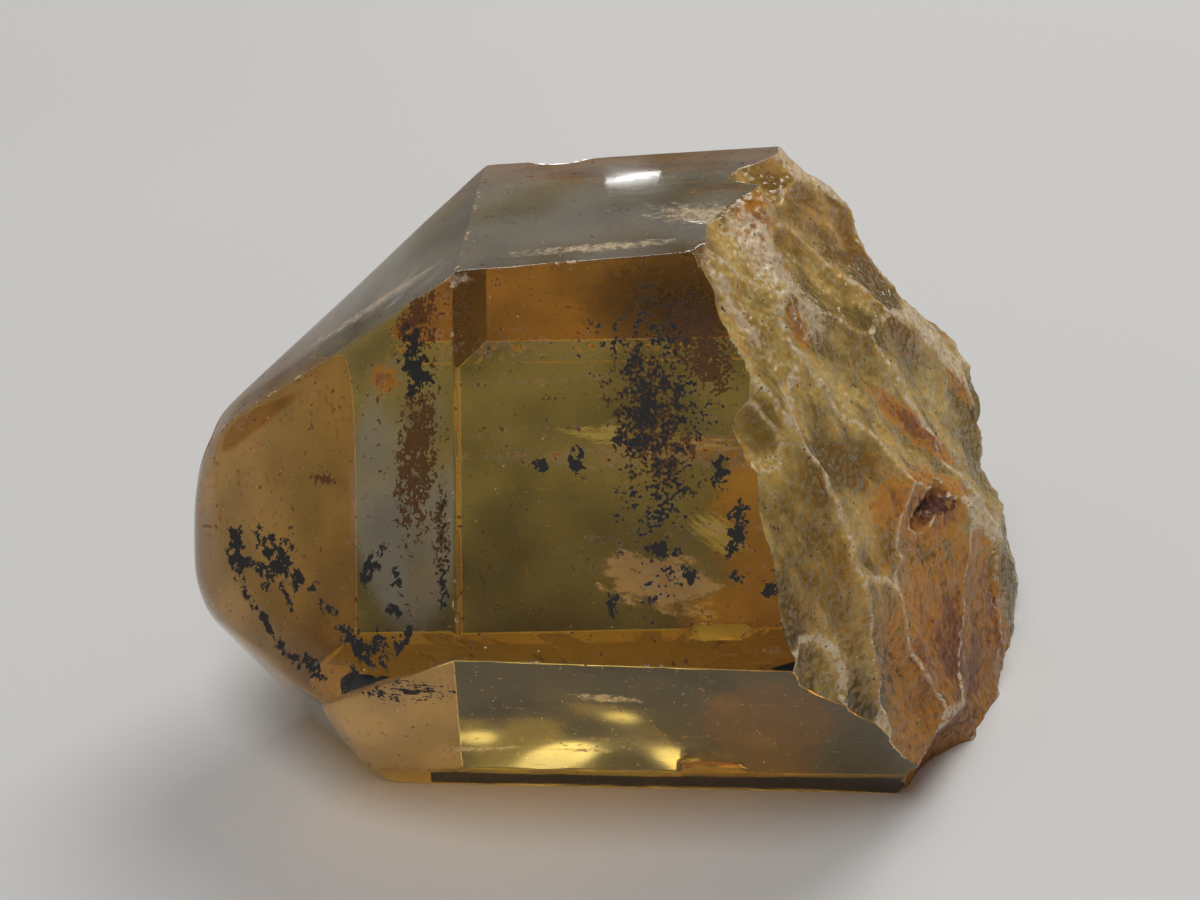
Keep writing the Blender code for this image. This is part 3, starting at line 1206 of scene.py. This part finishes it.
class CITRINE_OT_veils(bpy.types.Operator):
    """Build the cloudy veil and the two cracks inside the crystal, with painted golden glints on the
    cracks
    """

    bl_idname = "citrine.veils"
    bl_label = "Inner veils"

    def execute(self, context):
        colours = context.scene.citrine_colours
        cloud = veil_material("tan_veil", colours.veil, 0.5, 0.85, 0.60)
        # The cracks' golden colour is a painted glint.
        glint = veil_material("glinting_crack", colours.glint, 0.16, 0.9, 0.635)
        for name, place in VEILS.items():
            points, quads, fields = veil_sheet(*place)
            material = cloud if name == "tan_veil" else glint
            make_piece(name, points, quads, np.zeros((0, 3), int), fields, material)
        return {"FINISHED"}


def soft_light(name, place, aim, size, power, colour):
    """A soft oval light that looks at a point."""
    lamp = bpy.data.lights.new(name, "AREA")
    lamp.shape = "ELLIPSE"
    lamp.size, lamp.size_y = size
    lamp.energy = power
    lamp.color = colour
    light = bpy.data.objects.new(name, lamp)
    light.location = place
    light.visible_camera = False
    light.rotation_euler = (Vector(aim) - Vector(place)).to_track_quat("-Z", "Y").to_euler()
    bpy.context.scene.collection.objects.link(light)


class CITRINE_OT_stage(bpy.types.Operator):
    """Build the floor, the lights and the camera"""

    bl_idname = "citrine.stage"
    bl_label = "Stage"

    def execute(self, context):
        stage = context.scene.citrine_stage
        half = stage.floor_size / 2.0
        mesh = bpy.data.meshes.new("floor")
        corners = [(-half, -half, 0), (half, -half, 0), (half, half, 0), (-half, half, 0)]
        mesh.from_pydata(corners, [], [(0, 1, 2, 3)])
        make = Nodes("pale_floor")
        low = solid([0.93 * part for part in stage.floor_colour])
        tint = make.blend(make.noise(14.0, 1.0), low, solid(stage.floor_colour))
        make.set(make.shader, "Base Color", tint)
        make.set(make.shader, "Roughness", 0.75)
        mesh.materials.append(make.material)
        floor = bpy.data.objects.new("floor", mesh)
        context.scene.collection.objects.link(floor)

        for name, (place, aim, size, colour) in LIGHTS.items():
            soft_light(name, place, aim, size, getattr(stage, name + "_power"), colour)

        world = bpy.data.worlds.new("room")
        world.use_nodes = True
        light = world.node_tree.nodes["Background"]
        light.inputs["Color"].default_value = solid(ROOM_COLOUR)
        light.inputs["Strength"].default_value = stage.sky_strength
        context.scene.world = world
        context.scene.view_settings.view_transform = "Standard"

        lens = bpy.data.cameras.new("camera")
        lens.lens = CAMERA_LENS
        lens.sensor_width = CAMERA_SENSOR
        lens.clip_start = 0.005
        lens.clip_end = 20.0
        camera = bpy.data.objects.new("camera", lens)
        turn = math.radians(stage.view_turn)
        height = math.radians(stage.view_height)
        level = math.cos(height)
        back = Vector((math.sin(turn) * level, -math.cos(turn) * level, math.sin(height)))
        camera.location = Vector(CAMERA_AIM) + back * stage.view_distance
        camera.rotation_euler = (-back).to_track_quat("-Z", "Y").to_euler()
        context.scene.collection.objects.link(camera)
        context.scene.camera = camera
        return {"FINISHED"}


class CITRINE_PT_panel(bpy.types.Panel):
    """Lists the pieces and their sizes"""

    bl_idname = "CITRINE_PT_panel"
    bl_label = "Citrine crystal point"
    bl_space_type = "VIEW_3D"
    bl_region_type = "UI"
    bl_category = "Citrine"

    def draw(self, context):
        for group, operators in (
            (context.scene.citrine_sizes, ("citrine.crystal",)),
            (context.scene.citrine_colours, ("citrine.veils",)),
            (context.scene.citrine_stage, ("citrine.stage",)),
        ):
            box = self.layout.box()
            for name in group.bl_rna.properties.keys():
                if name not in ("rna_type", "name"):
                    box.prop(group, name)
            for operator in operators:
                box.operator(operator)


CLASSES = (
    CrystalSizes,
    CitrineColours,
    StageSizes,
    CITRINE_OT_crystal,
    CITRINE_OT_veils,
    CITRINE_OT_stage,
    CITRINE_PT_panel,
)


def register():
    """Register the classes and hang the settings on the scene."""
    for item in CLASSES:
        bpy.utils.register_class(item)
    bpy.types.Scene.citrine_sizes = PointerProperty(type=CrystalSizes)
    bpy.types.Scene.citrine_colours = PointerProperty(type=CitrineColours)
    bpy.types.Scene.citrine_stage = PointerProperty(type=StageSizes)


def unregister():
    """Take the settings and the classes away."""
    del bpy.types.Scene.citrine_stage
    del bpy.types.Scene.citrine_colours
    del bpy.types.Scene.citrine_sizes
    for item in reversed(CLASSES):
        bpy.utils.unregister_class(item)


def main():
    """Build everything in order."""
    register()
    bpy.ops.citrine.crystal()
    bpy.ops.citrine.veils()
    bpy.ops.citrine.stage()


if __name__ == "__main__":
    main()
